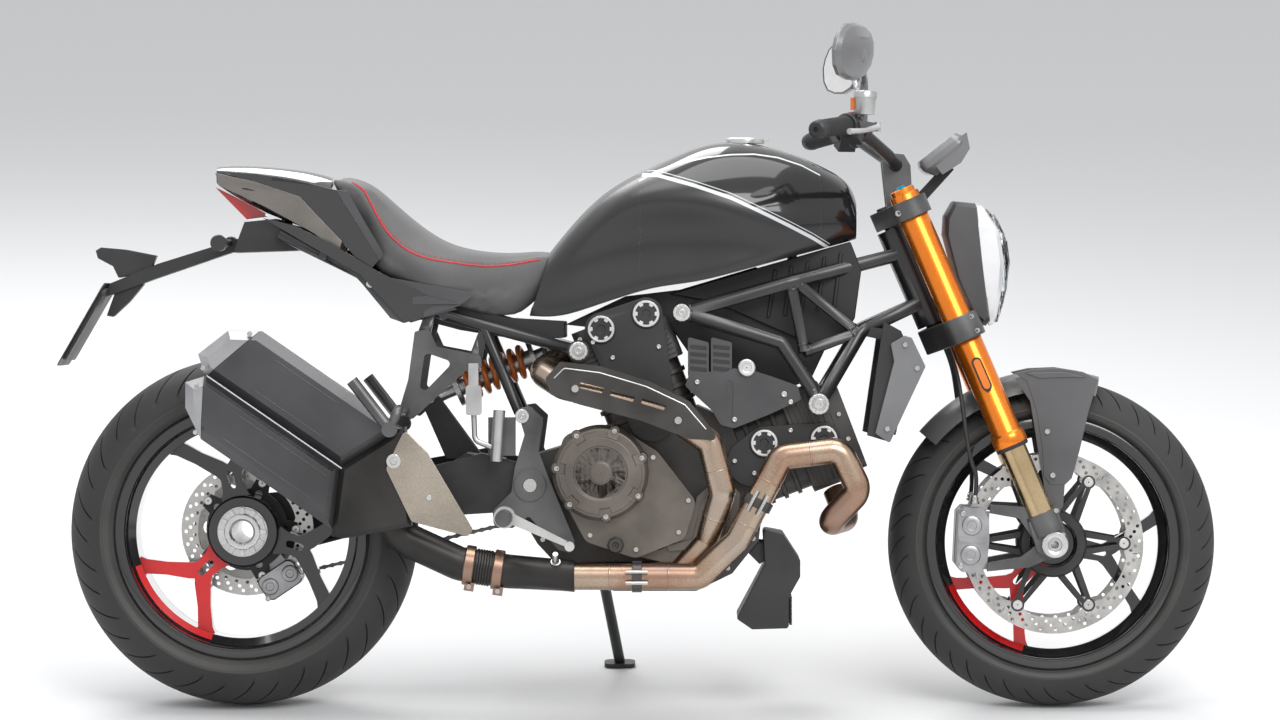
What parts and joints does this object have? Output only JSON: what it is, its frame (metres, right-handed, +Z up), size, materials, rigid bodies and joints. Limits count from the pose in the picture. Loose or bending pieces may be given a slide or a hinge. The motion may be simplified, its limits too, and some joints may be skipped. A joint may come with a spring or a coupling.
{
  "type": "standard motorcycle",
  "caption": "Naked two-cylinder road motorcycle on its side stand, with a tube frame, upside-down fork, stacked silencers and Y-spoke wheels.",
  "frame": {"origin": "bottom centre of the box round the whole motorcycle, on the ground", "axes": "+X forward, +Z up, -Y the motorcycle's right-hand side; it leans 10 degrees towards +Y onto its side stand"},
  "size_m": [2.1215, 0.8342, 1.2826],
  "materials": {
    "bright_aluminium": "satin",
    "bright_steel": "polished",
    "caliper_grey": "satin",
    "clear_lens": "gloss",
    "disc_steel": "satin",
    "engine_grey": "satin",
    "exhaust_steel": "satin",
    "frame_paint": "satin",
    "gold_anodised": "gloss",
    "grey_plastic": "satin",
    "matte_plastic": "matte",
    "red_lens": "gloss",
    "satin_black_metal": "satin",
    "satin_black_plastic": "satin",
    "seat_leather": "matte",
    "silencer_black": "satin",
    "soft_rubber": "matte",
    "spring_yellow": "satin",
    "tank_black": "gloss",
    "tyre": "matte",
    "wheel_black": "gloss"
  },
  "bodies": {
    "chassis": {"crankcase": "engine_grey", "cylinders": "engine_grey", "clutch_cover": "engine_grey", "generator_cover": "engine_grey", "sprocket_cover": "matte_plastic", "belt_covers": "matte_plastic", "trellis_frame": "frame_paint", "electrics_cover": "matte_plastic", "rear_subframe": "frame_paint", "swingarm": "satin_black_metal", "swingarm_pin": "bright_steel", "chain": "disc_steel", "front_sprocket": "disc_steel", "rear_shock": "bright_aluminium", "shock_spring": "spring_yellow", "exhaust_headers": "exhaust_steel", "heat_shield": "exhaust_steel", "silencers": "silencer_black", "link_pipe": "satin_black_metal", "silencer_guard": "exhaust_steel", "radiator": "satin_black_metal", "radiator_covers": "satin_black_plastic", "oil_cooler": "matte_plastic", "fuel_tank": "tank_black", "rider_seat": "seat_leather", "tail_panels": "tank_black", "tail_light": "red_lens", "plate_hanger": "matte_plastic", "footrests": "bright_aluminium", "foot_pedals": "satin_black_metal", "passenger_hangers": "satin_black_metal", "rear_brake_pump": "matte_plastic", "rear_caliper": "caliper_grey"},
    "steering": {"lower_clamp": "satin_black_metal", "upper_clamp": "satin_black_metal", "fork_outer_tubes": "gold_anodised", "fork_inner_tubes": "bright_steel", "fork_bottoms": "satin_black_metal", "front_axle": "bright_steel", "front_calipers": "caliper_grey", "front_fender": "satin_black_plastic", "front_hoses": "soft_rubber", "handlebar": "satin_black_metal", "grips": "soft_rubber", "hand_controls": "satin_black_metal", "mirrors": "matte_plastic", "instrument": "matte_plastic", "headlight_shell": "grey_plastic", "headlight_lens": "clear_lens"},
    "front_wheel": {"front_tyre": "tyre", "front_rim": "wheel_black", "front_discs": "disc_steel"},
    "rear_wheel": {"rear_tyre": "tyre", "rear_rim": "wheel_black", "rear_wheel_shaft": "bright_aluminium", "rear_disc": "disc_steel", "rear_sprocket": "disc_steel"},
    "side_stand": {"side_stand": "satin_black_metal"},
    "fuel_cap": {"fuel_cap": "bright_aluminium"}
  },
  "joints": [
    {"name": "steering", "type": "hinge", "parent": "chassis", "child": "steering", "pos_m": [0.50347, -0.06741, 0.78773], "axis": [-0.3951, 0.1595, 0.9047], "range_deg": [-32, 32]},
    {"name": "front_wheel_spin", "type": "hinge", "parent": "steering", "child": "front_wheel", "pos_m": [0.76077, -0.15403, 0.29637], "axis": [-0.0001, 0.9848, -0.1736], "continuous": true},
    {"name": "rear_wheel_spin", "type": "hinge", "parent": "chassis", "child": "rear_wheel", "pos_m": [-0.72423, -0.15055, 0.31672], "axis": [-0.0001, 0.9848, -0.1736], "continuous": true},
    {"name": "side_stand_fold", "type": "hinge", "parent": "chassis", "child": "side_stand", "pos_m": [-0.07376, -0.0129, 0.23326], "axis": [0.0001, 0.9511, 0.309], "range_deg": [0, 95]},
    {"name": "fuel_cap_hinge", "type": "hinge", "parent": "chassis", "child": "fuel_cap", "pos_m": [0.24258, -0.02535, 1.02634], "axis": [-0.0001, 0.9848, -0.1736], "range_deg": [0, 100]}
  ]
}
